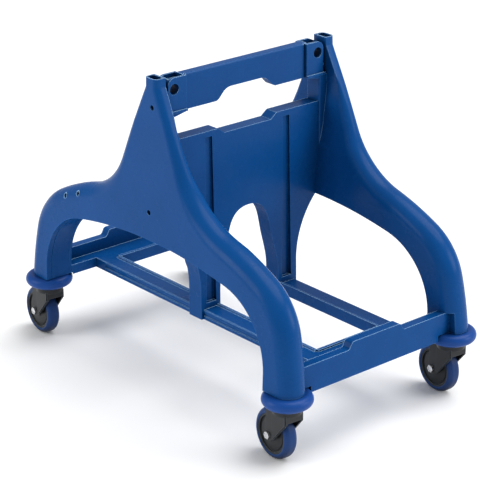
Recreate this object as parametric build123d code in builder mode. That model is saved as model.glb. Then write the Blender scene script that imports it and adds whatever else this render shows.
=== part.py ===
from build123d import *
import os
from math import atan, cos, hypot, sin

os.makedirs("parts", exist_ok=True)

# ---------------------------------------------------------------- driving sizes, mm
# Side frames: one moulding each side, leaning in toward the top.
FRAME_THICKNESS = 48.8
FRAME_OUTER_AT_FLOOR = 197.7
FRAME_LEAN = 0.0372
LEG_BOTTOM = 115.4
LEG_OUTER = 321.0
LEG_INNER = 267.5
FRAME_ROUND = 22.0
LEDGE_Z = 460.0
LEDGE_HALF = 31.7
POST_HALF = 14.0
POST_SHOULDER_Z = 491.5
POST_TOP = 518.5
POST_WALL = 19.0
POST_ROUND = 9.0
POST_SOCKET_X = 23.0
POST_SOCKET_WIDTH = 14.0
POST_SOCKET_CORNER = 5.0
POST_SOCKET_Y = 169.0
POST_SOCKET_DEPTH = 20.0
ACCESSORY_HOLES = ((-217, 275.5), (-183.5, 288))
ACCESSORY_R = 3.6
ACCESSORY_DEPTH = 14.0
# The moulding thins toward the top: (height, thickness) pairs from the arch up.
RIM_TAPER = ((298, 49.5), (359, 38), (388, 29), (420, 23), (445, 19.5), (460, 19.5))
RIB_HALF = 15.0
RIB_FACE_Y = 146.0
RIB_FOOT_Z = 280.0
RIB_START_Z = 300.0
ARCH_CROWN = 266.0
ARCH_CLEAR_HALF = 290.0
ARCH_CLEAR_RISE = 225.0

# Centre panel between the side frames.
PANEL_HALF_TOP = 12.0
PANEL_HALF_FOOT = 15.0
PANEL_TOP = 417.5
PANEL_DIP = 9.0
PANEL_DIP_HALF = 53.0
PANEL_TONGUE = 5.0
PANEL_FOOT = 112.8
GROOVE_Y = 78.1
GROOVE_DEPTH = 7.0
FOOT_IN = 60.3
FOOT_OUT = 99.1

# Bucket trays: end bar, shelf and two rails in one moulding.
BAR_OUTER = 303.5
BAR_THICKNESS = 16.0
BAR_BOTTOM = 105.4
BAR_TOP = 149.4
BAR_RAISED = 160.9
BAR_RAISED_HALF = 51.3
BAR_HALF = 154.5
SHELF_TOP = 129.0
SHELF_BOTTOM = 112.8
SHELF_INNER = 240.0
SHELF_SIDE = 266.0
SHELF_HALF = 143.6
RAIL_IN = 62.7
RAIL_OUT = 94.7
LIP_WIDTH = 6.0
LIP_HEIGHT = 2.4
RAIL_END = 15.3

# Top crossbar with the hand grip.
GRIP_HALF = 8.5
GRIP_TOP = 515.9
GRIP_BOTTOM = 460.2
BLOCK_HALF = 13.5
BLOCK_IN = 120.0
BLOCK_OUT = 154.5
BLOCK_SEAM = 2.0
BLOCK_CORNER = 12.0
FLANGE_HEIGHT = 3.5
FLANGE_MARGIN = 2.5
EYE_Y = 143.0
EYE_Z = 497.5
EYE_R = 8.5
POCKET_X = 19.0
POCKET_Y = 25.0
POCKET_CENTRE = 136.5
POCKET_DEPTH = 8.0
GRIP_ARCH_HALF = 59.0
GRIP_ARCH_RISE = 18.0
GUSSET_OUT = 145.6
GUSSET_DROP = 5.0
GUSSET_HALF = 15.0

# Castors, worked out about the swivel axis and placed four times.
CASTOR_X = 295.0
CASTOR_Y = 169.5
SWIVEL_ANGLE = -4.6
TRAIL = 26.6
WHEEL_R = 40.0
WHEEL_HALF = 11.0
TYRE_INNER = 31.5
HUB_BORE = 6.05
BUSH_BORE = 4.05
AXLE_R = 4.0
CHEEK_IN = 12.2
CHEEK_OUT = 15.2
HEAD_R = 22.0
HEAD_TOP = 93.0
HEAD_BOTTOM = 84.0
RACE_TOP = 98.5
STEM_R = 6.0
BALL_R = 1.6
BALL_Z = 92.7
BALL_CIRCLE_R = 16.0
BALL_COUNT = 14
STEM_TOP = 168.0
SOCKET_R = 11.0
SOCKET_TOP = 172.0
RING_R = 38.5
RING_TUBE = 9.5
RING_Z = 105.2

# Screws.
SCREW_R = 2.5
SCREW_HEAD_R = 4.2
SCREW_HEAD_H = 3.5
PANEL_SCREW_Z = 310.0
PANEL_SCREW_SINK = 34.0
GRIP_SCREW_X = 6.0
GRIP_SCREW_Z = 475.0
FOOT_BOLT_Y = 79.7
FOOT_BOLT_Z = 120.5
FOOT_BOLT_REACH = 40.0
TRAY_SCREW_X = 276.0
TRAY_SCREW_Z = 120.5
TRAY_SCREW_HEAD_Y = 128.0
TRAY_SCREW_TIP = 176.0
GRIP_SCREW_SINK = 12.0
GRIP_SCREW_TIP = 122.0

# The trailing wheels reach further back than the rings reach forward, so every
# piece is moved ahead by this much to put the middle of the length on the origin.
ORIGIN_SHIFT = 14.0

LEAN_ANGLE = atan(FRAME_LEAN)


def export_piece(part, name):
    """Label one finished piece and write its STEP file in the shared frame."""
    placed = part.moved(Location((ORIGIN_SHIFT, 0, 0)))
    placed.label = name
    export_step(placed, f"parts/{name}.step")


def frame_outer_y(z):
    """Distance of a side frame's outer face from the middle plane at a height."""
    return FRAME_OUTER_AT_FLOOR - FRAME_LEAN * z


# ---------------------------------------------------------------- centre panel
with BuildPart() as centre_panel:
    # Front view: straight tongued edges, dipped top, central arch, outer half arches.
    with BuildSketch(Plane.YZ) as panel_front:
        with BuildLine():
            edge = RIB_FACE_Y + PANEL_TONGUE
            dip = PANEL_TOP - PANEL_DIP
            slope_in = PANEL_DIP_HALF - 6
            slope_out = PANEL_DIP_HALF + 6
            Polyline(
                (0, dip),
                (slope_in, dip),
                (slope_out, PANEL_TOP),
                (edge, PANEL_TOP),
                (edge, ARCH_CROWN),
                (142, ARCH_CROWN),
            )
            ThreePointArc((142, ARCH_CROWN), (114, 226), (FOOT_OUT, 165))
            Polyline((FOOT_OUT, 165), (FOOT_OUT, PANEL_FOOT), (FOOT_IN, PANEL_FOOT), (FOOT_IN, 150))
            Spline(
                (FOOT_IN, 150),
                (46, 222),
                (0, 280.5),
                tangents=[(0, 1), (-1, 0)],
            )
            Line((0, 280.5), (0, dip))
        make_face()
        mirror(about=Plane.YZ)
    extrude(amount=PANEL_HALF_FOOT, both=True)
    # Moulding draft: shave both faces to the tapered thickness.
    with BuildSketch(Plane.XZ) as taper_cut:
        for side in (-1, 1):
            with BuildLine():
                Polyline(
                    (side * PANEL_HALF_FOOT, PANEL_FOOT),
                    (side * PANEL_HALF_TOP, PANEL_TOP + 1),
                    (side * (PANEL_HALF_FOOT + 5), PANEL_TOP + 1),
                    (side * (PANEL_HALF_FOOT + 5), PANEL_FOOT),
                    close=True,
                )
            make_face()
    extrude(amount=200, both=True, mode=Mode.SUBTRACT)
    # Long vertical grooves, wider toward the foot, on both faces.
    for side in (-1, 1):
        with BuildSketch(Plane.YZ.offset(side * PANEL_HALF_FOOT)) as grooves:
            for hand in (-1, 1):
                with BuildLine():
                    Polyline(
                        (hand * (GROOVE_Y - 10), 138),
                        (hand * (GROOVE_Y - 7), PANEL_TOP - 9),
                        (hand * (GROOVE_Y + 7), PANEL_TOP - 9),
                        (hand * (GROOVE_Y + 10), 138),
                        close=True,
                    )
                make_face()
        extrude(amount=-side * GROOVE_DEPTH, mode=Mode.SUBTRACT)
    # Screw holes into both edges and along the length of the feet.
    for hand in (-1, 1):
        with BuildSketch(Plane.XZ.offset(-hand * 110)) as edge_hole:
            with Locations((0, PANEL_SCREW_Z)):
                Circle(SCREW_R)
        extrude(amount=-hand * 60, mode=Mode.SUBTRACT)
    with BuildSketch(Plane.YZ.offset(-40)) as foot_holes:
        with Locations((-FOOT_BOLT_Y, FOOT_BOLT_Z), (FOOT_BOLT_Y, FOOT_BOLT_Z)):
            Circle(SCREW_R)
    extrude(amount=80, mode=Mode.SUBTRACT)

export_piece(centre_panel.part, "centre_panel")



# ---------------------------------------------------------------- bucket trays
def make_tray(facing):
    """End bar, cross shelf and two rails; facing is +1 for the front tray, -1 for the rear."""
    inside = BAR_OUTER - BAR_THICKNESS
    with BuildPart() as tray:
        # Upright end bar with the raised middle.
        with BuildSketch(Plane.YZ.offset(facing * inside)) as bar:
            with BuildLine():
                Polyline(
                    (0, BAR_BOTTOM),
                    (BAR_HALF, BAR_BOTTOM),
                    (BAR_HALF, BAR_TOP),
                    (BAR_RAISED_HALF + 8, BAR_TOP),
                )
                Spline(
                    (BAR_RAISED_HALF + 8, BAR_TOP),
                    (BAR_RAISED_HALF - 6, BAR_RAISED),
                    tangents=[(-1, 0), (-1, 0)],
                )
                Polyline((BAR_RAISED_HALF - 6, BAR_RAISED), (0, BAR_RAISED), (0, BAR_BOTTOM))
            make_face()
            mirror(about=Plane.YZ)
        extrude(amount=facing * BAR_THICKNESS)
        # Cross shelf, deep between the rails and narrow beside them.
        with BuildSketch(Plane.XY.offset(SHELF_BOTTOM)) as shelf:
            for inner, half in ((SHELF_INNER, RAIL_OUT), (SHELF_SIDE, SHELF_HALF)):
                with Locations((facing * (inner + inside + 1) / 2, 0)):
                    Rectangle(inside + 1 - inner, 2 * half)
        extrude(amount=SHELF_TOP - SHELF_BOTTOM)
        # Rails toward the panel, each with a lip on its inner edge and a grooved outer side.
        for hand in (-1, 1):
            with BuildSketch(Plane.YZ.offset(facing * RAIL_END)) as rail:
                with BuildLine():
                    Polyline(
                        (hand * RAIL_IN, SHELF_BOTTOM),
                        (hand * RAIL_IN, SHELF_TOP + LIP_HEIGHT),
                        (hand * (RAIL_IN + LIP_WIDTH - 2), SHELF_TOP + LIP_HEIGHT),
                        (hand * (RAIL_IN + LIP_WIDTH), SHELF_TOP),
                        (hand * (RAIL_OUT - 1.5), SHELF_TOP),
                        (hand * RAIL_OUT, SHELF_TOP - 1.5),
                        (hand * RAIL_OUT, SHELF_TOP - 5),
                        (hand * (RAIL_OUT - 1.8), SHELF_TOP - 6.5),
                        (hand * (RAIL_OUT - 1.8), SHELF_TOP - 10),
                        (hand * RAIL_OUT, SHELF_TOP - 11.5),
                        (hand * RAIL_OUT, SHELF_BOTTOM),
                        close=True,
                    )
                make_face()
            extrude(amount=facing * (SHELF_INNER + 2 - RAIL_END))
        with BuildSketch(Plane.XY.offset(SHELF_TOP)) as shelf_lip:
            with Locations((facing * (SHELF_INNER + LIP_WIDTH / 2), 0)):
                Rectangle(LIP_WIDTH, 2 * RAIL_IN + 2)
        extrude(amount=LIP_HEIGHT)
        # Room for the bumper rings under the bar ends.
        with BuildSketch(Plane.XY.offset(BAR_BOTTOM - 1)) as ring_room:
            for hand in (-1, 1):
                with Locations((facing * CASTOR_X, hand * CASTOR_Y)):
                    Circle(RING_R + 1)
        extrude(amount=LEG_BOTTOM + 1.4 - BAR_BOTTOM, mode=Mode.SUBTRACT)
        # Driver pockets in the underside and the screw holes they serve.
        with BuildSketch(Plane.XY.offset(SHELF_BOTTOM - 1)) as pockets:
            for hand in (-1, 1):
                with Locations((facing * TRAY_SCREW_X, hand * (TRAY_SCREW_HEAD_Y - 8))):
                    Rectangle(11, 16)
                with Locations((facing * (FOOT_BOLT_REACH + 7), hand * FOOT_BOLT_Y)):
                    Rectangle(14, 11)
        extrude(amount=FOOT_BOLT_Z + 6 - SHELF_BOTTOM, mode=Mode.SUBTRACT)
        for hand in (-1, 1):
            with BuildSketch(Plane.XZ.offset(-hand * (TRAY_SCREW_HEAD_Y - 2))) as end_hole:
                with Locations((facing * TRAY_SCREW_X, TRAY_SCREW_Z)):
                    Circle(SCREW_R)
            extrude(amount=-hand * 30, mode=Mode.SUBTRACT)
        with BuildSketch(Plane.YZ.offset(facing * (RAIL_END - 2))) as rail_holes:
            with Locations((-FOOT_BOLT_Y, FOOT_BOLT_Z), (FOOT_BOLT_Y, FOOT_BOLT_Z)):
                Circle(SCREW_R)
        extrude(amount=facing * (FOOT_BOLT_REACH - RAIL_END + 4), mode=Mode.SUBTRACT)
    return tray


tray_front = make_tray(1)
tray_rear = make_tray(-1)
export_piece(tray_front.part, "bucket_tray_front")
export_piece(tray_rear.part, "bucket_tray_rear")


# ---------------------------------------------------------------- side frames
def make_side_frame(hand):
    """Arch, legs and handle post of one side; hand is -1 for the right side, +1 for the left."""
    outer_plane = Plane(
        origin=(0, hand * FRAME_OUTER_AT_FLOOR, 0),
        x_dir=(-hand, 0, 0),
        z_dir=(0, hand * cos(LEAN_ANGLE), sin(LEAN_ANGLE)),
    )
    with BuildPart() as frame:
        # Arch and legs up to the ledge that carries the crossbar.
        with BuildSketch(outer_plane) as arch:
            with BuildLine():
                Line((0, LEDGE_Z), (LEDGE_HALF, LEDGE_Z))
                slope = Line((LEDGE_HALF, LEDGE_Z), (72, 384))
                shoulder = TangentArc(slope @ 1, (165, 308), tangent=slope % 1)
                back = TangentArc(shoulder @ 1, (250, 275), tangent=shoulder % 1)
                bend = TangentArc(back @ 1, (307, 203), tangent=back % 1)
                TangentArc(bend @ 1, (LEG_OUTER, 100), tangent=bend % 1)
                Polyline((LEG_OUTER, 100), (LEG_INNER, 100), (LEG_INNER, 144))
                ThreePointArc((LEG_INNER, 144), (236, 218), (183, 247.5))
                ThreePointArc((183, 247.5), (93, 261.5), (0, ARCH_CROWN))
                Line((0, ARCH_CROWN), (0, LEDGE_Z))
            make_face()
            mirror(about=Plane.YZ)
        extrude(amount=-FRAME_THICKNESS)
        outline = [
            edge
            for edge in frame.edges()
            if edge.length > 60 and is_outline(edge)
        ]
        fillet(outline, FRAME_ROUND)
        # Outer wall of the handle post above the ledge.
        with BuildSketch(outer_plane) as post:
            with BuildLine():
                Polyline(
                    (-LEDGE_HALF, LEDGE_Z),
                    (-POST_HALF, POST_SHOULDER_Z),
                    (-POST_HALF, POST_TOP + 4),
                    (POST_HALF, POST_TOP + 4),
                    (POST_HALF, POST_SHOULDER_Z),
                    (LEDGE_HALF, LEDGE_Z),
                    close=True,
                )
            make_face()
        extrude(amount=-POST_WALL)
        post_edges = [
            edge
            for edge in frame.edges()
            if (edge @ 0.5).Z > LEDGE_Z + 3
            and edge.length > 20
            and abs((edge @ 0.5).X) > POST_HALF - 1
            and hand * (edge @ 0.5).Y > frame_outer_y(LEDGE_Z) - 3
        ]
        fillet(post_edges, POST_ROUND)
        # Thin the moulding toward the top, leaving a rib for the panel and the crossbar.
        rim = [(hand * (frame_outer_y(z) - thick), z) for z, thick in RIM_TAPER]
        inward = hand * (RIB_FACE_Y - 50)
        for side in (-1, 1):
            with BuildSketch(Plane.YZ.offset(side * RIB_HALF)) as rim_relief:
                with BuildLine():
                    Polyline(
                        *rim,
                        (rim[-1][0], LEDGE_Z + 1),
                        (inward, LEDGE_Z + 1),
                        (inward, rim[0][1]),
                        close=True,
                    )
                make_face()
            extrude(amount=side * LEG_OUTER, mode=Mode.SUBTRACT)
        with BuildSketch(Plane.YZ) as rib_relief:
            with BuildLine():
                Polyline(
                    (hand * (frame_outer_y(RIB_FOOT_Z) - FRAME_THICKNESS - 1), RIB_FOOT_Z),
                    (hand * RIB_FACE_Y, RIB_START_Z),
                    (hand * RIB_FACE_Y, LEDGE_Z + 1),
                    (inward, LEDGE_Z + 1),
                    (inward, RIB_FOOT_Z),
                    close=True,
                )
            make_face()
        extrude(amount=RIB_HALF, both=True, mode=Mode.SUBTRACT)
        # Level the leg ends and the post top.
        split(bisect_by=Plane.XY.offset(LEG_BOTTOM), keep=Keep.TOP)
        split(bisect_by=Plane.XY.offset(POST_TOP), keep=Keep.BOTTOM)
        # Grooves for the panel's tongues and rebates for the tray bar ends.
        add(centre_panel.part, mode=Mode.SUBTRACT)
        for facing in (-1, 1):
            with BuildSketch(Plane.XY.offset(LEG_BOTTOM - 1)) as rebate:
                inside = BAR_OUTER - BAR_THICKNESS
                with Locations((facing * (inside + 22), hand * (BAR_HALF - 10))):
                    Rectangle(44, 20)
            extrude(amount=BAR_TOP - LEG_BOTTOM + 1, mode=Mode.SUBTRACT)
            # Socket for the castor stem sleeve.
            with BuildSketch(Plane.XY.offset(LEG_BOTTOM - 1)) as socket:
                with Locations((facing * CASTOR_X, hand * CASTOR_Y)):
                    Circle(SOCKET_R)
            extrude(amount=SOCKET_TOP + 1 - LEG_BOTTOM, mode=Mode.SUBTRACT)
            with BuildSketch(Plane.XZ.offset(-hand * (SHELF_HALF - 1))) as tray_hole:
                with Locations((facing * TRAY_SCREW_X, TRAY_SCREW_Z)):
                    Circle(SCREW_R)
            extrude(amount=-hand * (TRAY_SCREW_TIP - SHELF_HALF + 1), mode=Mode.SUBTRACT)
        # Handle socket in the post top.
        with BuildSketch(Plane.XY.offset(POST_TOP)) as handle_socket:
            with Locations((0, hand * POST_SOCKET_Y)):
                RectangleRounded(POST_SOCKET_X, POST_SOCKET_WIDTH, POST_SOCKET_CORNER)
        extrude(amount=-POST_SOCKET_DEPTH, mode=Mode.SUBTRACT)
        # Sunk screw holes for the panel and the crossbar.
        for x, z, sink, tip in (
            (0, PANEL_SCREW_Z, PANEL_SCREW_SINK, 60),
            (GRIP_SCREW_X, GRIP_SCREW_Z, GRIP_SCREW_SINK, 60),
        ):
            face_y = frame_outer_y(z) + 3
            with BuildSketch(Plane.XZ.offset(-hand * face_y)) as sunk_hole:
                with Locations((x, z)):
                    Circle(SCREW_HEAD_R)
            extrude(amount=hand * (sink + 3), mode=Mode.SUBTRACT)
            with BuildSketch(Plane.XZ.offset(-hand * face_y)) as shank_hole:
                with Locations((x, z)):
                    Circle(SCREW_R)
            extrude(amount=hand * tip, mode=Mode.SUBTRACT)
        # Accessory holes in the rear shoulder.
        with BuildSketch(Plane.XZ.offset(-hand * (FRAME_OUTER_AT_FLOOR + 5))) as accessory:
            with Locations(*ACCESSORY_HOLES):
                Circle(ACCESSORY_R)
        extrude(amount=hand * (ACCESSORY_DEPTH + 15), mode=Mode.SUBTRACT)
    return frame


def is_outline(edge):
    """True for a long edge of the outer outline, false for the ledge and the arch opening."""
    middle = edge @ 0.5
    spread = hypot(middle.X / ARCH_CLEAR_HALF, (middle.Z - 100) / ARCH_CLEAR_RISE)
    return spread > 1 and middle.Z < LEDGE_Z - 5


side_frame_right = make_side_frame(-1)
export_piece(side_frame_right.part, "side_frame_right")
side_frame_left = make_side_frame(1)
export_piece(side_frame_left.part, "side_frame_left")

# ---------------------------------------------------------------- top crossbar
with BuildPart() as crossbar:
    # Grip plate with the raised hand opening.
    with BuildSketch(Plane.YZ) as grip:
        with BuildLine():
            Polyline((0, GRIP_TOP), (BLOCK_IN + 5, GRIP_TOP), (BLOCK_IN + 5, GRIP_BOTTOM))
            Line((BLOCK_IN + 5, GRIP_BOTTOM), (GRIP_ARCH_HALF, GRIP_BOTTOM))
            Spline(
                (GRIP_ARCH_HALF, GRIP_BOTTOM),
                (GRIP_ARCH_HALF - 12, GRIP_BOTTOM + 10),
                (GRIP_ARCH_HALF - 30, GRIP_BOTTOM + GRIP_ARCH_RISE),
                tangents=[(-1, 0.3), (-1, 0)],
            )
            Line((GRIP_ARCH_HALF - 30, GRIP_BOTTOM + GRIP_ARCH_RISE), (0, GRIP_BOTTOM + GRIP_ARCH_RISE))
            Line((0, GRIP_BOTTOM + GRIP_ARCH_RISE), (0, GRIP_TOP))
        make_face()
        mirror(about=Plane.YZ)
    extrude(amount=GRIP_HALF, both=True)
    fillet(crossbar.edges().filter_by(Axis.Y).group_by(Axis.Z)[-1], 3)
    for hand in (-1, 1):
        # End block with its foot flange and the gusset under the grip.
        with BuildSketch(Plane.YZ) as block:
            with BuildLine():
                Polyline(
                    (hand * BLOCK_IN, GRIP_BOTTOM),
                    (hand * BLOCK_IN, GRIP_TOP - 1),
                    (hand * (BLOCK_OUT - BLOCK_CORNER), GRIP_TOP - 1),
                )
                RadiusArc(
                    (hand * (BLOCK_OUT - BLOCK_CORNER), GRIP_TOP - 1),
                    (hand * BLOCK_OUT, GRIP_TOP - 1 - BLOCK_CORNER),
                    hand * BLOCK_CORNER,
                )
                Polyline(
                    (hand * BLOCK_OUT, GRIP_TOP - 1 - BLOCK_CORNER),
                    (hand * BLOCK_OUT, GRIP_BOTTOM),
                    (hand * BLOCK_IN, GRIP_BOTTOM),
                )
            make_face()
        extrude(amount=BLOCK_HALF, both=True)
        with BuildSketch(Plane.XY.offset(GRIP_BOTTOM)) as flange:
            with Locations((0, hand * (BLOCK_IN + BLOCK_OUT + FLANGE_HEIGHT) / 2)):
                Rectangle(
                    2 * (BLOCK_HALF + FLANGE_MARGIN),
                    BLOCK_OUT - BLOCK_IN + FLANGE_HEIGHT,
                )
        extrude(amount=FLANGE_HEIGHT)
        # Narrow seam where the grip plate meets the block.
        for face in (-1, 1):
            with BuildSketch(Plane.XY.offset(GRIP_BOTTOM - 1)) as seam:
                with Locations((face * GRIP_HALF, hand * (BLOCK_IN - BLOCK_SEAM / 2))):
                    Rectangle(2 * BLOCK_SEAM, BLOCK_SEAM)
            extrude(amount=GRIP_TOP - GRIP_BOTTOM + 2, mode=Mode.SUBTRACT)
        with BuildSketch(Plane.YZ) as gusset:
            with BuildLine():
                Polyline(
                    (hand * BLOCK_IN, GRIP_BOTTOM),
                    (hand * GUSSET_OUT, GRIP_BOTTOM),
                    (hand * GUSSET_OUT, GRIP_BOTTOM - GUSSET_DROP),
                    close=True,
                )
            make_face()
        extrude(amount=GUSSET_HALF, both=True)
        # Pocket in the block top, eye through it, and the screw hole in its end.
        with BuildSketch(Plane.XY.offset(GRIP_TOP)) as pocket:
            with Locations((0, hand * POCKET_CENTRE)):
                RectangleRounded(POCKET_X, POCKET_Y, 2)
        extrude(amount=-POCKET_DEPTH, mode=Mode.SUBTRACT)
        with BuildSketch(Plane.YZ.offset(-BLOCK_HALF - 5)) as eye:
            with Locations((hand * EYE_Y, EYE_Z)):
                Circle(EYE_R)
        extrude(amount=2 * BLOCK_HALF + 10, mode=Mode.SUBTRACT)
        with BuildSketch(Plane.XZ.offset(-hand * GRIP_SCREW_TIP)) as block_hole:
            with Locations((GRIP_SCREW_X, GRIP_SCREW_Z)):
                Circle(SCREW_R)
        extrude(amount=-hand * 40, mode=Mode.SUBTRACT)

export_piece(crossbar.part, "top_crossbar")


# ---------------------------------------------------------------- screws
def make_screws(placements):
    """Group of screws, each a head centre, a direction and a length."""
    with BuildPart() as screws:
        for head_centre, direction, length in placements:
            head_plane = Plane(origin=head_centre, z_dir=direction)
            with BuildSketch(head_plane) as head:
                Circle(SCREW_HEAD_R - 0.1)
            extrude(amount=SCREW_HEAD_H)
            with BuildSketch(head_plane) as shank:
                Circle(SCREW_R)
            extrude(amount=length)
            with BuildSketch(head_plane) as recess:
                RegularPolygon(radius=1.9, side_count=6)
            extrude(amount=2, mode=Mode.SUBTRACT)
    return screws.part


panel_head_y = frame_outer_y(PANEL_SCREW_Z) - PANEL_SCREW_SINK + SCREW_HEAD_H
panel_screws = make_screws(
    [((0, hand * panel_head_y, PANEL_SCREW_Z), (0, -hand, 0), 40) for hand in (-1, 1)]
)
export_piece(panel_screws, "panel_screws")

grip_head_y = frame_outer_y(GRIP_SCREW_Z) - GRIP_SCREW_SINK + SCREW_HEAD_H
crossbar_screws = make_screws(
    [
        (
            (GRIP_SCREW_X, hand * grip_head_y, GRIP_SCREW_Z),
            (0, -hand, 0),
            grip_head_y - GRIP_SCREW_TIP - 1,
        )
        for hand in (-1, 1)
    ]
)
export_piece(crossbar_screws, "crossbar_screws")

tray_head_y = TRAY_SCREW_HEAD_Y - SCREW_HEAD_H
tray_screws = make_screws(
    [
        (
            (facing * TRAY_SCREW_X, hand * tray_head_y, TRAY_SCREW_Z),
            (0, hand, 0),
            TRAY_SCREW_TIP - tray_head_y - 1,
        )
        for facing in (-1, 1)
        for hand in (-1, 1)
    ]
)
export_piece(tray_screws, "tray_screws")

foot_head_x = FOOT_BOLT_REACH + SCREW_HEAD_H
panel_foot_bolts = make_screws(
    [
        ((foot_head_x, hand * FOOT_BOLT_Y, FOOT_BOLT_Z), (-1, 0, 0), 2 * FOOT_BOLT_REACH)
        for hand in (-1, 1)
    ]
)
export_piece(panel_foot_bolts, "panel_foot_bolts")


# ---------------------------------------------------------------- castor pieces
# Modelled once about a swivel axis on the origin, with the wheel trailing toward -X.
def make_turned(points):
    """Solid of revolution about the swivel axis from (radius, height) points."""
    with BuildPart() as piece:
        with BuildSketch(Plane.XZ) as section:
            with BuildLine():
                Polyline(*points, close=True)
            make_face()
        revolve(axis=Axis.Z)
    return piece


with BuildPart() as bumper_ring:
    with BuildSketch(Plane.XZ) as ring_section:
        with BuildLine():
            outer = RING_R - RING_TUBE
            Line((16.4, RING_Z + RING_TUBE), (outer, RING_Z + RING_TUBE))
            ThreePointArc(
                (outer, RING_Z + RING_TUBE),
                (RING_R, RING_Z),
                (outer, RING_Z - RING_TUBE),
            )
            Polyline(
                (outer, RING_Z - RING_TUBE),
                (20.6, RING_Z - RING_TUBE),
                (20.6, RACE_TOP + 0.4),
                (16.4, RACE_TOP + 0.4),
                (16.4, RING_Z + RING_TUBE),
            )
        make_face()
    revolve(axis=Axis.Z)

stem_socket = make_turned(
    [
        (STEM_R, RACE_TOP),
        (16.2, RACE_TOP),
        (16.2, LEG_BOTTOM),
        (SOCKET_R, LEG_BOTTOM),
        (SOCKET_R, SOCKET_TOP - 0.5),
        (STEM_R, SOCKET_TOP - 0.5),
    ]
)


stem = make_turned(
    [
        (0, 80.8),
        (8.5, 80.8),
        (10, 82),
        (10, HEAD_BOTTOM - 0.4),
        (STEM_R, HEAD_BOTTOM - 0.4),
        (STEM_R, STEM_TOP - 1),
        (STEM_R - 1, STEM_TOP),
        (0, STEM_TOP),
    ]
)


upper_race = make_turned(
    [
        (STEM_R, RACE_TOP - 3.0),
        (13, RACE_TOP - 3.0),
        (13, RACE_TOP - 3.4),
        (20.2, RACE_TOP - 3.4),
        (20.2, RACE_TOP),
        (STEM_R, RACE_TOP),
    ]
)


with BuildPart() as swivel_balls:
    with Locations((0, 0, BALL_Z)):
        with PolarLocations(BALL_CIRCLE_R, BALL_COUNT):
            Sphere(BALL_R)

with BuildPart() as fork:
    # Swivel head.
    with BuildSketch(Plane.XY.offset(HEAD_BOTTOM)) as head:
        Circle(HEAD_R)
    extrude(amount=HEAD_TOP - 2 - HEAD_BOTTOM)
    # Two cheeks down to the axle, each with a raised pad ahead of the axle.
    for hand in (-1, 1):
        with BuildSketch(Plane.XZ.offset(-hand * CHEEK_IN)) as cheek:
            with BuildLine():
                Polyline((17, 72), (8, 61.5), (-13, 36.5), (-20.5, 34.5))
                ThreePointArc((-20.5, 34.5), (-TRAIL - 2, WHEEL_R - 8.2), (-34.8, 41))
                Polyline((-34.8, 41), (-31, 80), (-17, HEAD_BOTTOM + 2), (17, HEAD_BOTTOM + 2), (17, 72))
            make_face()
            with Locations((-TRAIL, WHEEL_R)):
                Circle(AXLE_R, mode=Mode.SUBTRACT)
        extrude(amount=-hand * (CHEEK_OUT - CHEEK_IN))
        with BuildSketch(Plane.XZ.offset(-hand * CHEEK_OUT)) as pad:
            with BuildLine():
                Polyline(
                    (15.5, HEAD_BOTTOM + 2),
                    (15.5, 72),
                    (8, 63.5),
                    (-13, 38.5),
                    (-15, 42),
                    (-15, HEAD_BOTTOM + 2),
                    close=True,
                )
            make_face()
        extrude(amount=-hand * 1.8)
    # Front wall joining the cheeks, clear of the wheel.
    with BuildSketch(Plane.XY.offset(74)) as front_wall:
        with Locations((15.8, 0)):
            Rectangle(2.6, 2 * CHEEK_OUT)
    extrude(amount=HEAD_BOTTOM - 73)
    with BuildSketch(Plane.XY.offset(HEAD_BOTTOM - 5)) as bore:
        Circle(STEM_R + 0.05)
    extrude(amount=20, mode=Mode.SUBTRACT)

with BuildPart() as axle_bolt:
    with BuildSketch(Plane.XZ.offset(CHEEK_OUT + 3)) as shank:
        with Locations((-TRAIL, WHEEL_R)):
            Circle(AXLE_R)
    extrude(amount=-(2 * CHEEK_OUT + 3))
    with BuildSketch(Plane.XZ.offset(-CHEEK_OUT)) as bolt_head:
        with Locations((-TRAIL, WHEEL_R)):
            RegularPolygon(radius=7, side_count=6)
    extrude(amount=-3.4)

with BuildPart() as axle_nut:
    with BuildSketch(Plane.XZ.offset(CHEEK_OUT)) as nut:
        with Locations((-TRAIL, WHEEL_R)):
            RegularPolygon(radius=6.2, side_count=6)
            Circle(AXLE_R, mode=Mode.SUBTRACT)
    extrude(amount=3.6)

wheel_axis = Axis((-TRAIL, 0, WHEEL_R), (0, 1, 0))
wheel_plane = Plane(origin=(-TRAIL, 0, WHEEL_R), x_dir=(1, 0, 0), z_dir=(0, 0, 1))

with BuildPart() as axle_sleeve:
    with BuildSketch(wheel_plane) as sleeve_section:
        with Locations(((BUSH_BORE + HUB_BORE) / 2, 0)):
            Rectangle(HUB_BORE - BUSH_BORE, 2 * (CHEEK_IN - 0.3))
    revolve(axis=wheel_axis)

with BuildPart() as wheel_core:
    with BuildSketch(wheel_plane) as core_section:
        with BuildLine():
            Polyline(
                (HUB_BORE, 0),
                (HUB_BORE, WHEEL_HALF),
                (10, WHEEL_HALF),
                (11, 9),
                (25, 8),
                (25.5, 6.6),
                (28, 6.6),
                (28.5, 9.5),
                (TYRE_INNER, 10),
                (TYRE_INNER, 0),
                close=True,
            )
        make_face()
        mirror(about=Plane.XZ)
    revolve(axis=wheel_axis)

with BuildPart() as tyre:
    with BuildSketch(wheel_plane) as tyre_section:
        with BuildLine():
            Polyline((WHEEL_R, 3), (WHEEL_R, 0), (TYRE_INNER, 0), (TYRE_INNER, 10.6), (34, WHEEL_HALF))
            TangentArc((WHEEL_R, 3), (34, WHEEL_HALF), tangent=(0, 1))
        make_face()
        mirror(about=Plane.XZ)
    revolve(axis=wheel_axis)

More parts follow.
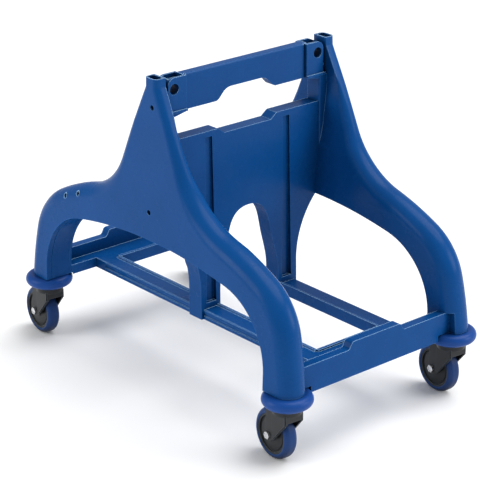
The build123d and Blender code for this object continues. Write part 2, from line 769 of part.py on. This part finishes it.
CASTOR_PIECES = {
    "bumper_ring": bumper_ring,
    "stem_socket": stem_socket,
    "castor_stem": stem,
    "upper_race": upper_race,
    "swivel_balls": swivel_balls,
    "castor_fork": fork,
    "axle_bolt": axle_bolt,
    "axle_nut": axle_nut,
    "axle_sleeve": axle_sleeve,
    "wheel_core": wheel_core,
    "wheel_tyre": tyre,
}
CORNERS = {
    "front_right": (1, -1),
    "front_left": (1, 1),
    "rear_right": (-1, -1),
    "rear_left": (-1, 1),
}

for corner, (facing, hand) in CORNERS.items():
    spot = Location((facing * CASTOR_X, hand * CASTOR_Y, 0), (0, 0, SWIVEL_ANGLE))
    for piece_name, master in CASTOR_PIECES.items():
        with BuildPart() as placed:
            with Locations(spot):
                add(master.part)
        export_piece(placed.part, f"{piece_name}_{corner}")
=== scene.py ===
import math

import bmesh
import bpy
from mathutils import Matrix, Vector


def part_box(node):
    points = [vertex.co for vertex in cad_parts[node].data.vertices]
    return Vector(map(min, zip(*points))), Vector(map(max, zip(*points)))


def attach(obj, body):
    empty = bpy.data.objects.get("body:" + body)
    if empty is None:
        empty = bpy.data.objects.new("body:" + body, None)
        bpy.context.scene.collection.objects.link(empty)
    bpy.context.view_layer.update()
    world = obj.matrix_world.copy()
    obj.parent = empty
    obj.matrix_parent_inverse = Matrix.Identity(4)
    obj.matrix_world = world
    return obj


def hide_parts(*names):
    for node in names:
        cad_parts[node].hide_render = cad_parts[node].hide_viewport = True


MM = 0.001
HANDS = {"right": -1, "left": 1}

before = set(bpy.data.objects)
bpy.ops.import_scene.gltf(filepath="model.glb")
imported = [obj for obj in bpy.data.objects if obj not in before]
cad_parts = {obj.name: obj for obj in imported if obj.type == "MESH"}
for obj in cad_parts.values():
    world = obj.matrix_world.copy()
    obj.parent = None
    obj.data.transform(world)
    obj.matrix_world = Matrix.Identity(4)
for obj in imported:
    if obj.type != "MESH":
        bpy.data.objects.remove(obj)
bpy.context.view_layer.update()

# The overall box is centred on the origin; the frames' own middle stands ahead of it.
panel_low, panel_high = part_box("centre_panel")
MIDDLE_X = (panel_low.x + panel_high.x) / 2


# ---------------------------------------------------------------- material helpers
class Nodes:
    """Small helper for writing one material's node tree."""

    def __init__(self, name):
        self.material = bpy.data.materials.new(name)
        self.material.use_nodes = True
        self.tree = self.material.node_tree
        self.tree.nodes.clear()
        self.output = self.tree.nodes.new("ShaderNodeOutputMaterial")
        self.shader = self.tree.nodes.new("ShaderNodeBsdfPrincipled")
        self.link(self.shader.outputs["BSDF"], self.output.inputs["Surface"])

    def link(self, source, target):
        self.tree.links.new(source, target)

    def noise(self, scale, detail=3.0, rough=0.55):
        """Noise in object coordinates, the same on every piece because all share one frame."""
        place = self.tree.nodes.new("ShaderNodeTexCoord")
        made = self.tree.nodes.new("ShaderNodeTexNoise")
        made.inputs["Scale"].default_value = scale
        made.inputs["Detail"].default_value = detail
        made.inputs["Roughness"].default_value = rough
        self.link(place.outputs["Object"], made.inputs["Vector"])
        return made.outputs["Fac"]

    def remap(self, value, low, high, to_low, to_high):
        made = self.tree.nodes.new("ShaderNodeMapRange")
        made.inputs["From Min"].default_value = low
        made.inputs["From Max"].default_value = high
        made.inputs["To Min"].default_value = to_low
        made.inputs["To Max"].default_value = to_high
        self.link(value, made.inputs["Value"])
        return made.outputs["Result"]

    def mix(self, factor, first, second):
        made = self.tree.nodes.new("ShaderNodeMix")
        made.data_type = "RGBA"
        # Inputs 6 and 7 and output 2 are this node's colour sockets.
        self.link(factor, made.inputs["Factor"])
        for index, colour in ((6, first), (7, second)):
            if isinstance(colour, tuple):
                made.inputs[index].default_value = (*colour, 1)
            else:
                self.link(colour, made.inputs[index])
        return made.outputs[2]

    def edge_wear_and_highlight_mask(self, radius):
        """0 on flat faces, rising on edges, from the difference of bevelled and true normals."""
        bevel = self.tree.nodes.new("ShaderNodeBevel")
        bevel.samples = 4
        bevel.inputs["Radius"].default_value = radius
        geometry = self.tree.nodes.new("ShaderNodeNewGeometry")
        dot = self.tree.nodes.new("ShaderNodeVectorMath")
        dot.operation = "DOT_PRODUCT"
        self.link(bevel.outputs["Normal"], dot.inputs[0])
        self.link(geometry.outputs["Normal"], dot.inputs[1])
        return self.remap(dot.outputs["Value"], 0.97, 0.80, 0.0, 1.0)

    def product(self, first, second):
        made = self.tree.nodes.new("ShaderNodeMath")
        made.operation = "MULTIPLY"
        self.link(first, made.inputs[0])
        self.link(second, made.inputs[1])
        return made.outputs["Value"]

    def facing_up(self, low, high):
        """0 on walls and undersides, 1 on what faces up."""
        geometry = self.tree.nodes.new("ShaderNodeNewGeometry")
        parts = self.tree.nodes.new("ShaderNodeSeparateXYZ")
        self.link(geometry.outputs["Normal"], parts.inputs["Vector"])
        return self.remap(parts.outputs["Z"], low, high, 0.0, 1.0)

    def painted_shade_openness(self, reach):
        """1 in the open, falling to 0 deep in corners, grooves and holes: where shade is painted
        into the colour.
        """
        made = self.tree.nodes.new("ShaderNodeAmbientOcclusion")
        made.samples = 6
        made.inputs["Distance"].default_value = reach
        return self.remap(made.outputs["AO"], 0.10, 0.80, 0.0, 1.0)

    def bump(self, height, distance):
        made = self.tree.nodes.new("ShaderNodeBump")
        made.inputs["Distance"].default_value = distance
        self.link(height, made.inputs["Height"])
        self.link(made.outputs["Normal"], self.shader.inputs["Normal"])


# How far the painted shade in corners and holes reaches in metres, and the colour painted there.
PAINTED_SHADE_REACH = 0.060
PAINTED_SHADE_DARK = 0.15
# Radius of the paler worn band along every edge, and of the painted highlight along edges that face
# up.
WORN_RADIUS = 0.0016
PAINTED_HIGHLIGHT_RADIUS = 0.0030


def moulded_plastic(name, deep, light, worn, painted_highlight, roughness, specular, grain, grain_depth):
    """Moulded plastic: two close tones, painted shade in recesses, pale worn edges, a painted
    highlight on edges that face up, and fine grain.
    """
    n = Nodes(name)
    tone = n.remap(n.noise(9.0, 4.0), 0.3, 0.7, 0.0, 1.0)
    painted_shade_tone = tuple(PAINTED_SHADE_DARK * part for part in deep)
    # Painted shade: corners, grooves and holes darken toward a dim copy of the deep tone.
    body = n.mix(n.painted_shade_openness(PAINTED_SHADE_REACH), painted_shade_tone, n.mix(tone, deep, light))
    colour = n.mix(n.edge_wear_and_highlight_mask(WORN_RADIUS), body, worn)
    # Painted highlight: a pale line along edges that face up.
    painted_highlight_mask = n.product(n.edge_wear_and_highlight_mask(PAINTED_HIGHLIGHT_RADIUS), n.facing_up(0.05, 0.35))
    colour = n.mix(painted_highlight_mask, colour, painted_highlight)
    n.link(colour, n.shader.inputs["Base Color"])
    sheen_changes = n.remap(n.noise(34.0, 5.0, 0.6), 0.3, 0.7, roughness - 0.05, roughness + 0.06)
    n.link(sheen_changes, n.shader.inputs["Roughness"])
    n.shader.inputs["Specular IOR Level"].default_value = specular
    n.bump(n.noise(grain, 2.0), grain_depth)
    return n.material


def zinc_steel(name):
    """Zinc-plated steel: pale spangle, uneven polish and a fine brushed grain."""
    n = Nodes(name)
    spangle = n.remap(n.noise(260.0, 3.0), 0.35, 0.65, 0.0, 1.0)
    n.link(n.mix(spangle, (0.52, 0.53, 0.55), (0.74, 0.75, 0.76)), n.shader.inputs["Base Color"])
    n.shader.inputs["Metallic"].default_value = 0.95
    n.link(n.remap(n.noise(90.0, 4.0), 0.3, 0.7, 0.22, 0.42), n.shader.inputs["Roughness"])
    n.bump(n.noise(900.0, 2.0), 0.00004)
    return n.material


FRAME_BLUE = moulded_plastic(
    "frame_blue",
    deep=(0.002, 0.053, 0.205),
    light=(0.003, 0.063, 0.235),
    worn=(0.02, 0.13, 0.38),
    painted_highlight=(0.38, 0.62, 0.85),
    roughness=0.26,
    specular=0.08,
    grain=1500.0,
    grain_depth=0.00001,
)
RING_BLUE = moulded_plastic(
    "ring_blue",
    deep=(0.006, 0.050, 0.230),
    light=(0.008, 0.060, 0.265),
    worn=(0.03, 0.12, 0.40),
    painted_highlight=(0.10, 0.30, 0.60),
    roughness=0.34,
    specular=0.14,
    grain=1300.0,
    grain_depth=0.00005,
)
TYRE_BLUE = moulded_plastic(
    "tyre_blue",
    deep=(0.006, 0.034, 0.135),
    light=(0.009, 0.044, 0.165),
    worn=(0.03, 0.09, 0.26),
    painted_highlight=(0.05, 0.14, 0.36),
    roughness=0.45,
    specular=0.18,
    grain=1100.0,
    grain_depth=0.00007,
)
CASTOR_BLACK = moulded_plastic(
    "castor_black",
    deep=(0.012, 0.014, 0.016),
    light=(0.020, 0.023, 0.026),
    worn=(0.06, 0.07, 0.08),
    painted_highlight=(0.12, 0.14, 0.15),
    roughness=0.40,
    specular=0.25,
    grain=1200.0,
    grain_depth=0.00008,
)
STEEL = zinc_steel("zinc_steel")


def finish(obj, material):
    """Give a piece its material."""
    obj.data.materials.clear()
    obj.data.materials.append(material)


# ---------------------------------------------------------------- side frames
# Sizes in millimetres, the same as the CAD frame's.
THICK = 48.8
OUTER_AT_FLOOR = 197.7
LEAN = 0.0372
LEG_BOTTOM = 115.4
LEG_OUTER = 320.6
LEG_INNER = 267.5
LEDGE_Z = 460.0
SHOULDER_HALF = 36.5
POST_TOP = 518.5
POST_HALF = 14.0
POST_WALL = 19.0
POST_ROUND = 8.0
POST_SOCKET = (23.0, 14.0, 5.0)
POST_SOCKET_Y = 169.0
POST_SOCKET_DEPTH = 20.0
FULL_ROUND = 23.5
SHOULDER_FOOT = Vector((72, 386))
SHOULDER_ROUND = 13.0
# Height of each level row of vertices up the shoulder and the post.
SHOULDER_ROWS = [400, 415, 430, 445, 452, LEDGE_Z]
SHOULDER_ROWS += [LEDGE_Z + 2 * step for step in range(1, 24)] + [POST_TOP]
# Angles of the vertices round each quarter of the edge, in degrees.
ROUND_TURNS = range(0, 91, 10)
# Share of the thickness that the outer rounding may take, and the flat left between the two.
OUTER_SHARE = 0.5
BAND_FLAT = 0.3
# The inner rounding fades out over a height below a level, down to a least share of itself.
FADE_TOP = 470.0
FADE_HEIGHT = 60.0
FADE_LEAST = 0.15
WALL_FLAT = 0.1
POST_EDGE = 1.2
# Heights and thicknesses of the outer band; it is as thick as the legs below the first.
RIM_TAPER = ((298, 49.5), (359, 38), (388, 29), (420, 23), (445, 19.5), (460, 19.5))
# Rib behind the band: the panel's edge sits in it and the crossbar's block on it.
RIB_HALF = 15.0
RIB_FACE_Y = 146.0
RIB_FOOT_Z = 280.0
RIB_START_Z = 300.0
RIB_CORNER = 3.0
RIB_FOOT_GAP = 0.5
RIB_OVERLAP = 4.0
# Rebate in each leg that takes the tray's end, as middle and size along x, y and z.
REBATE_MIDDLE = (309.5, 144.5, 104.4)
REBATE_SIZE = (44, 20, 90)
# Length of a hole's cutting shape, and how far the socket's runs past the post's top.
CUT_LENGTH = 60.0
CUT_PAST = 20.0
# Hole centres on the outer face, their radius and how deep they go.
FRAME_HOLES = (
    (0, 310, 4.2, 30.5),
    (6, 475, 4.2, 8.5),
    (-217, 275.5, 3.6, 14),
    (-183.5, 288, 3.6, 14),
)


def outer_y(z):
    """Distance of the flat outer face from the middle plane at a height."""
    return OUTER_AT_FLOOR - LEAN * z


def tangent_arc(start, direction, end, steps):
    """Points after start on the arc that leaves it along direction and ends at end."""
    chord = end - start
    turn = direction.angle_signed(chord)
    points = []
    for i in range(1, steps + 1):
        share = i / steps
        length = chord.length * math.sin(turn * share) / math.sin(turn)
        heading = Matrix.Rotation(-turn * share, 2) @ direction
        points.append(start + heading * length)
    return points, Matrix.Rotation(-2 * turn, 2) @ direction


def three_point_arc(start, through, end, steps):
    """Points after start on the circle arc through three points."""
    chord = (start - through).orthogonal()
    other = (end - through).orthogonal()
    middle_a = (start + through) / 2
    middle_b = (end + through) / 2
    cross = chord.x * other.y - chord.y * other.x
    gap = middle_b - middle_a
    centre = middle_a + chord * ((gap.x * other.y - gap.y * other.x) / cross)
    first = start - centre
    last = end - centre
    turn = first.angle_signed(last)
    return [centre + Matrix.Rotation(-turn * i / steps, 2) @ first for i in range(1, steps + 1)]


def outline():
    """Outer outline of the front half below the straight shoulder, leg end first, as (x, z)."""
    slope = (SHOULDER_FOOT - Vector((SHOULDER_HALF, LEDGE_Z))).normalized()
    points = [SHOULDER_FOOT]
    for target, steps in (
        ((165, 308), 14),
        ((250, 275), 9),
        ((307, 203), 14),
        ((LEG_OUTER, LEG_BOTTOM), 9),
    ):
        more, slope = tangent_arc(points[-1], slope, Vector(target), steps)
        points += more
    points.reverse()
    return points


def inward_normals(points):
    """Direction into the material at each outline point, level at the leg's end."""
    normals = []
    for i, point in enumerate(points):
        before = points[max(i - 1, 0)]
        after = points[min(i + 1, len(points) - 1)]
        along = (after - before).normalized()
        normals.append(Vector((-along.y, along.x)))
    normals[0] = Vector((-1, 0))
    return normals


def rounding(radius, depth):
    """How far a quarter-round edge has drawn in at a depth from its flat face."""
    if depth >= radius:
        return 0.0
    return radius - math.sqrt(radius * radius - (radius - depth) ** 2)


def thickness(z):
    """Thickness of the moulding's outer band at a height: it thins toward the post."""
    if z <= RIM_TAPER[0][0]:
        return THICK
    for (low, thick_low), (high, thick_high) in zip(RIM_TAPER, RIM_TAPER[1:]):
        if z <= high:
            return min(THICK, thick_low + (thick_high - thick_low) * (z - low) / (high - low))
    return RIM_TAPER[-1][1]


def shoulder_radius(z):
    """Rounding of the outline edges at a height: full on the legs, less up the shoulder."""
    share = min(max((z - SHOULDER_FOOT.y) / (LEDGE_Z - SHOULDER_FOOT.y), 0), 1)
    share = share * share * (3 - 2 * share)
    return FULL_ROUND + (SHOULDER_ROUND - FULL_ROUND) * share


def intrados():
    """Arch opening from the front leg's foot to the crown, as (x, z) points."""
    points = [Vector((LEG_INNER, LEG_BOTTOM)), Vector((LEG_INNER, 144))]
    points += three_point_arc(points[-1], Vector((236, 218)), Vector((183, 247.5)), 16)
    points += three_point_arc(points[-1], Vector((93, 261.5)), Vector((0, 266)), 16)
    return points


# Across the arch opening's face, from the outer side to the inner side: depth and how
# far the surface sinks. A fine moulding line runs near the outer side, a lip inside.
ARCH_FACE = (
    (0.0, 0.0),
    (9.0, 0.0),
    (9.5, 1.2),
    (10.7, 1.2),
    (11.2, 0.0),
    (THICK - 4.0, 0.0),
    (THICK - 3.4, -1.0),
    (THICK, -1.0),
)


def side_frame_mesh(name, hand):
    """Arch, legs and post of one side: the full rounding of the shoulder runs into the post."""
    mesh = bmesh.new()
    points = outline()
    normals = inward_normals(points)
    depths = [FULL_ROUND * (1 - math.cos(math.radians(turn))) for turn in ROUND_TURNS]
    shoulder = SHOULDER_FOOT - Vector((SHOULDER_HALF, LEDGE_Z))
    run = -shoulder.x / shoulder.y
    level = -shoulder.y / shoulder.length

    def vertex(x, z, depth, facing):
        y = hand * (outer_y(z) - depth)
        return mesh.verts.new((facing * x * MM + MIDDLE_X, y * MM, z * MM))

    def section(i, facing):
        """Vertices across the curved outline at point i, outer flat first."""
        row = []
        thick = thickness(points[i].y)
        front = min(FULL_ROUND, thick * OUTER_SHARE)
        back = min(FULL_ROUND, thick - front - BAND_FLAT)
        for depth in depths:
            spot = points[i] + normals[i] * rounding(front, depth * front / FULL_ROUND)
            row.append(vertex(spot.x, spot.y, depth * front / FULL_ROUND, facing))
        for turn in ROUND_TURNS:
            depth = back * (1 - math.sin(math.radians(turn)))
            spot = points[i] + normals[i] * rounding(back, depth)
            row.append(vertex(spot.x, spot.y, thick - depth, facing))
        return row

    def level_section(z, facing):
        """Vertices across the straight shoulder and the post that rises out of it."""
        edge = SHOULDER_HALF - (z - LEDGE_Z) * run
        thick = thickness(z)
        front = min(shoulder_radius(z), thick * OUTER_SHARE)
        fade = max(FADE_LEAST, min(1, (FADE_TOP - z) / FADE_HEIGHT))
        back = min(shoulder_radius(z), thick - front - BAND_FLAT) * fade
        wall = thick - back - WALL_FLAT if z < LEDGE_Z else thick - POST_EDGE
        row = []
        for full_depth in depths:
            depth = full_depth * wall / FULL_ROUND
            shoulder_x = edge - rounding(front, depth) / level
            post_x = POST_HALF - rounding(POST_ROUND, depth)
            row.append(vertex(max(shoulder_x, post_x), z, depth, facing))
        if z >= LEDGE_Z:
            back = POST_EDGE
        for turn in ROUND_TURNS:
            depth = back * (1 - math.sin(math.radians(turn)))
            inner_x = max(edge, POST_HALF) if z >= LEDGE_Z else edge
            row.append(vertex(inner_x - rounding(back, depth) / level, z, thick - depth, facing))
        return row

    arch = intrados()
    arch_normals = inward_normals(arch)
    arch_normals[-1] = Vector((0, -1))
    halves = {}
    arches = {}
    for facing in (1, -1):
        halves[facing] = [section(i, facing) for i in range(len(points))]
        halves[facing] += [level_section(z, facing) for z in SHOULDER_ROWS]
        arches[facing] = []
        for flat, normal in zip(arch, arch_normals):
            row = []
            for depth, sink in ARCH_FACE:
                row.append(vertex(flat.x - normal.x * sink, flat.y - normal.y * sink, depth, facing))
            arches[facing].append(row)
    for extra in arches[-1][-1]:
        mesh.verts.remove(extra)
    arches[-1][-1] = arches[1][-1]

    def strip(row_a, row_b):
        for j in range(min(len(row_a), len(row_b)) - 1):
            mesh.faces.new((row_a[j], row_a[j + 1], row_b[j + 1], row_b[j]))

    for facing in (1, -1):
        rows = halves[facing]
        for i in range(len(rows) - 1):
            strip(rows[i], rows[i + 1])
        for i in range(len(arch) - 1):
            strip(arches[facing][i], arches[facing][i + 1])
        mesh.faces.new(rows[0] + arches[facing][0][::-1])

    front, rear = halves[1], halves[-1]
    around = arches[1] + arches[-1][-2::-1]
    mesh.faces.new(
        [row[0] for row in front[::-1]]
        + [row[0] for row in around]
        + [row[0] for row in rear]
    )
    # The inner face follows the taper, so it is closed in level bands above the arch.
    crown = [i for i, point in enumerate(points) if point.y < RIM_TAPER[0][0]][-1] + 1
    for i in range(crown, len(front) - 1):
        mesh.faces.new((front[i][-1], front[i + 1][-1], rear[i + 1][-1], rear[i][-1]))
    mesh.faces.new(
        [row[-1] for row in front[: crown + 1][::-1]]
        + [row[-1] for row in around]
        + [row[-1] for row in rear[: crown + 1]]
    )
    mesh.faces.new(front[-1] + rear[-1][::-1])
    return mesh_object(name, mesh)


def mesh_object(name, mesh):
    """Turn a bmesh into a linked object with its normals facing out."""
    bmesh.ops.recalc_face_normals(mesh, faces=mesh.faces)
    data = bpy.data.meshes.new(name)
    mesh.to_mesh(data)
    mesh.free()
    obj = bpy.data.objects.new(name, data)
    bpy.context.scene.collection.objects.link(obj)
    return obj


def rib_mesh(name, hand):
    """Rib inside the moulding, with a foot that slopes out to the band's inner face."""
    mesh = bmesh.new()
    levels = (
        (RIB_FOOT_Z, outer_y(RIB_FOOT_Z) - THICK + RIB_FOOT_GAP),
        (RIB_START_Z, RIB_FACE_Y),
        (LEDGE_Z, RIB_FACE_Y),
    )
    rows = []
    for z, inner in levels:
        root = outer_y(z) - POST_WALL + RIB_OVERLAP
        corners = [(-RIB_HALF, root), (-RIB_HALF, inner + RIB_CORNER)]
        for turn in (22.5, 45, 67.5):
            angle = math.radians(turn)
            x = -RIB_HALF + RIB_CORNER * (1 - math.cos(angle))
            corners.append((x, inner + RIB_CORNER * (1 - math.sin(angle))))
        corners.append((-RIB_HALF + RIB_CORNER, inner))
        corners += [(-x, y) for x, y in corners[::-1]]
        row = [mesh.verts.new((x * MM + MIDDLE_X, hand * y * MM, z * MM)) for x, y in corners]
        rows.append(row)
    for low, high in zip(rows, rows[1:]):
        for j in range(len(low)):
            after = (j + 1) % len(low)
            mesh.faces.new((low[j], low[after], high[after], high[j]))
    mesh.faces.new(rows[0][::-1])
    mesh.faces.new(rows[-1])
    return mesh_object(name, mesh)


def frame_cuts(hand):
    """Throwaway mesh with every hole, socket and rebate of a side frame."""
    mesh = bmesh.new()
    for x, z, radius, sink in FRAME_HOLES:
        y = outer_y(z) - sink + CUT_LENGTH / 2
        place = Matrix.Translation((x * MM + MIDDLE_X, hand * y * MM, z * MM))
        bmesh.ops.create_cone(
            mesh,
            cap_ends=True,
            segments=32,
            radius1=radius * MM,
            radius2=radius * MM,
            depth=CUT_LENGTH * MM,
            matrix=place @ Matrix.Rotation(math.pi / 2, 4, "X"),
        )
    x, y, z = REBATE_MIDDLE
    scale = Matrix.Diagonal((*(size * MM for size in REBATE_SIZE), 1))
    for facing in (-1, 1):
        place = Matrix.Translation((facing * x * MM + MIDDLE_X, hand * y * MM, z * MM))
        bmesh.ops.create_cube(mesh, size=1, matrix=place @ scale)
    ring = []
    length, width, corner = POST_SOCKET
    for quarter, (sx, sy) in enumerate(((1, 1), (-1, 1), (-1, -1), (1, -1))):
        for step in range(5):
            angle = math.radians(90 * quarter + 22.5 * step)
            x = sx * (length / 2 - corner) + corner * math.cos(angle)
            y = sy * (width / 2 - corner) + corner * math.sin(angle)
            ring.append((x * MM + MIDDLE_X, (hand * POST_SOCKET_Y + y) * MM))
    low = [mesh.verts.new((x, y, (POST_TOP - POST_SOCKET_DEPTH) * MM)) for x, y in ring]
    high = [mesh.verts.new((x, y, (POST_TOP + CUT_PAST) * MM)) for x, y in ring]
    mesh.faces.new(low[::-1])
    mesh.faces.new(high)
    for i in range(len(ring)):
        after = (i + 1) % len(ring)
        mesh.faces.new((low[i], low[after], high[after], high[i]))
    return mesh_object(f"cuts_{hand}", mesh)


def apply_modifiers(obj):
    """Bake the modifiers into the mesh."""
    graph = bpy.context.evaluated_depsgraph_get()
    data = bpy.data.meshes.new_from_object(obj.evaluated_get(graph))
    obj.modifiers.clear()
    obj.data = data


def soften(obj, width, angle=38, segments=2):
    """Small moulded edge radius with clean shading on the flats."""
    bevel = obj.modifiers.new("edge_radius", "BEVEL")
    bevel.width = width * MM
    bevel.segments = segments
    bevel.limit_method = "ANGLE"
    bevel.angle_limit = math.radians(angle)
    bevel.use_clamp_overlap = True
    bevel.miter_outer = "MITER_ARC"
    bevel.harden_normals = True
    weights = obj.modifiers.new("flat_shading", "WEIGHTED_NORMAL")
    weights.keep_sharp = True
    weights.weight = 80


for side, hand in HANDS.items():
    moulding = side_frame_mesh(f"side_frame_moulding_{side}", hand)
    tools = ((rib_mesh(f"rib_{side}", hand), "UNION"), (frame_cuts(hand), "DIFFERENCE"))
    for tool, operation in tools:
        step = moulding.modifiers.new(operation, "BOOLEAN")
        step.object = tool
        step.operation = operation
        step.solver = "EXACT"
    apply_modifiers(moulding)
    for tool, operation in tools:
        bpy.data.objects.remove(tool)
    for polygon in moulding.data.polygons:
        polygon.use_smooth = True
    soften(moulding, 1.0)
    finish(moulding, FRAME_BLUE)
    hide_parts(f"side_frame_{side}")
    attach(moulding, "frame")


# ---------------------------------------------------------------- CAD pieces' looks
LOOKS = {
    "centre_panel": (FRAME_BLUE, "frame_blue", 1.6),
    "bucket_tray": (FRAME_BLUE, "frame_blue", 1.4),
    "top_crossbar": (FRAME_BLUE, "frame_blue", 1.4),
    "bumper_ring": (RING_BLUE, "ring_blue", 0.8),
    "castor_fork": (CASTOR_BLACK, "black_plastic", 0.8),
    "wheel_core": (CASTOR_BLACK, "black_plastic", 0.5),
    "wheel_tyre": (TYRE_BLUE, "tyre_blue", 0.5),
    "stem_socket": (CASTOR_BLACK, "black_plastic", 0.3),
    "axle_sleeve": (STEEL, "steel", 0.2),
    "upper_race": (STEEL, "steel", 0.2),
    "castor_stem": (STEEL, "steel", 0.3),
    "swivel_balls": (STEEL, "steel", 0.0),
    "axle_bolt": (STEEL, "steel", 0.3),
    "axle_nut": (STEEL, "steel", 0.4),
    "panel_screws": (STEEL, "steel", 0.2),
    "crossbar_screws": (STEEL, "steel", 0.2),
    "tray_screws": (STEEL, "steel", 0.2),
    "panel_foot_bolts": (STEEL, "steel", 0.2),
}
for node_name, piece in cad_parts.items():
    for kind, (material, slot_name, width) in LOOKS.items():
        if node_name.startswith(kind):
            finish(piece, material)
            if width:
                weld = piece.modifiers.new("joined_edges", "WELD")
                weld.merge_threshold = 0.01 * MM
                soften(piece, width)


# ---------------------------------------------------------------- floor and light
def simple_surface(name, colour, roughness):
    n = Nodes(name)
    n.shader.inputs["Base Color"].default_value = (*colour, 1)
    n.shader.inputs["Roughness"].default_value = roughness
    n.shader.inputs["Specular IOR Level"].default_value = 0.2
    return n.material


FLOOR_HALF = 14.0


def make_floor():
    """Flat pale floor, far wider than the object."""
    mesh = bmesh.new()
    bmesh.ops.create_grid(mesh, x_segments=1, y_segments=1, size=FLOOR_HALF)
    data = bpy.data.meshes.new("studio_floor")
    mesh.to_mesh(data)
    mesh.free()
    floor = bpy.data.objects.new("studio_floor", data)
    floor.data.materials.append(simple_surface("studio_white", (0.93, 0.93, 0.93), 0.6))
    bpy.context.scene.collection.objects.link(floor)


def area_light(name, place, target, size, power):
    """Soft square light aimed at a point."""
    data = bpy.data.lights.new(name, "AREA")
    data.shape = "SQUARE"
    data.size = size
    data.energy = power
    lamp = bpy.data.objects.new(name, data)
    lamp.location = place
    lamp.rotation_euler = (Vector(target) - Vector(place)).to_track_quat("-Z", "Y").to_euler()
    bpy.context.scene.collection.objects.link(lamp)


def sky_light(name, place, strength):
    """Very soft overhead light, even over the whole floor."""
    data = bpy.data.lights.new(name, "SUN")
    data.energy = strength
    data.angle = math.radians(50)
    lamp = bpy.data.objects.new(name, data)
    lamp.rotation_euler = (-Vector(place)).to_track_quat("-Z", "Y").to_euler()
    bpy.context.scene.collection.objects.link(lamp)


def make_world(strength):
    world = bpy.data.worlds.new("studio")
    world.use_nodes = True
    background = world.node_tree.nodes["Background"]
    background.inputs["Color"].default_value = (1, 1, 1, 1)
    background.inputs["Strength"].default_value = strength
    bpy.context.scene.world = world


make_floor()
make_world(0.50)
CENTRE = (0, 0, 0.25)
sky_light("overhead_light", (0.35, 0.75, 2.0), 2.4)
area_light("left_softbox", (-1.1, -2.4, 1.2), CENTRE, 1.5, 30)
area_light("right_softbox", (2.2, 1.7, 1.2), CENTRE, 1.3, 26)
bpy.context.scene.view_settings.view_transform = "Standard"


# ---------------------------------------------------------------- camera
# Where the camera stands and how it is turned, fitted to the photograph's perspective.
CAMERA_PLACE = (2.20443, -1.86364, 1.37972)
LENS = 141.869
AZIMUTH = math.radians(49.4019)
ELEVATION = math.radians(22.3184)
ROLL = math.radians(-0.2354)
right = Vector((math.cos(AZIMUTH), math.sin(AZIMUTH), 0))
back = Vector(
    (
        math.sin(AZIMUTH) * math.cos(ELEVATION),
        -math.cos(AZIMUTH) * math.cos(ELEVATION),
        math.sin(ELEVATION),
    )
)
up = back.cross(right)
camera_right = math.cos(ROLL) * right + math.sin(ROLL) * up
camera_up = math.cos(ROLL) * up - math.sin(ROLL) * right
camera_data = bpy.data.cameras.new("photo_camera")
camera_data.lens = LENS
camera_data.sensor_width = 36
camera = bpy.data.objects.new("photo_camera", camera_data)
axes = Matrix((camera_right, camera_up, back)).transposed().to_4x4()
camera.matrix_world = Matrix.Translation(CAMERA_PLACE) @ axes
bpy.context.scene.collection.objects.link(camera)
bpy.context.scene.camera = camera
